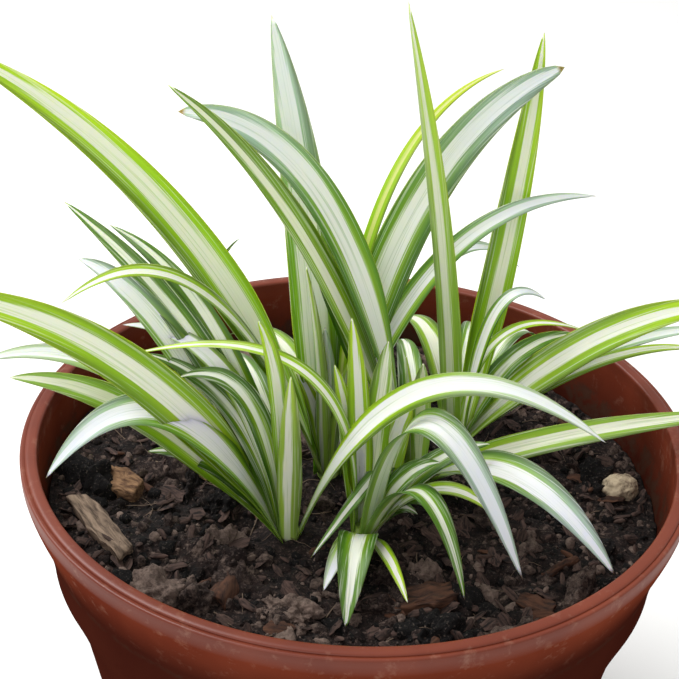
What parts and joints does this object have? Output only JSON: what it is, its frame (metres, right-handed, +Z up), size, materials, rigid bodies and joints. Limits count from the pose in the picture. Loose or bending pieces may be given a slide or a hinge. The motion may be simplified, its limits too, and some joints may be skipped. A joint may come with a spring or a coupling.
{
  "type": "potted plant",
  "caption": "Spider plant with arching striped strap leaves in several rosettes, growing in soil in a tiered round pot.",
  "frame": {"origin": "centre of the pot's flat underside", "axes": "+Z up, +X to the viewer's right and +Y away from the viewer, when the plant is seen from its front"},
  "size_m": [0.2775, 0.242, 0.332],
  "materials": {
    "terracotta_plastic": "moulded plastic in a terracotta brown, satin",
    "potting_soil": "dark crumbly potting soil with bark fibres",
    "striped_leaf": "living leaf, green with a pale centre stripe, slightly glossy",
    "seedling_green": "living seed leaf, light green",
    "brown_bark": "rough bark and wood, red brown",
    "pale_wood": "dry fibrous wood, tan",
    "straw": "dry straw",
    "rough_stone": "granular beige stone"
  },
  "bodies": {
    "root": {"pot": "terracotta_plastic", "soil": "potting_soil", "seedling": "seedling_green", "rosette_left": "striped_leaf", "rosette_middle": "striped_leaf", "rosette_right": "striped_leaf", "rosette_back": "striped_leaf", "rosette_front": "striped_leaf", "stone": "rough_stone", "bark_block": "brown_bark", "wood_strip": "pale_wood", "wood_chip": "brown_bark", "chip_right": "brown_bark", "bark_curl": "pale_wood", "straw_long": "straw", "straw_short": "straw", "root_twig": "brown_bark", "stick": "brown_bark"}
  },
  "joints": []
}
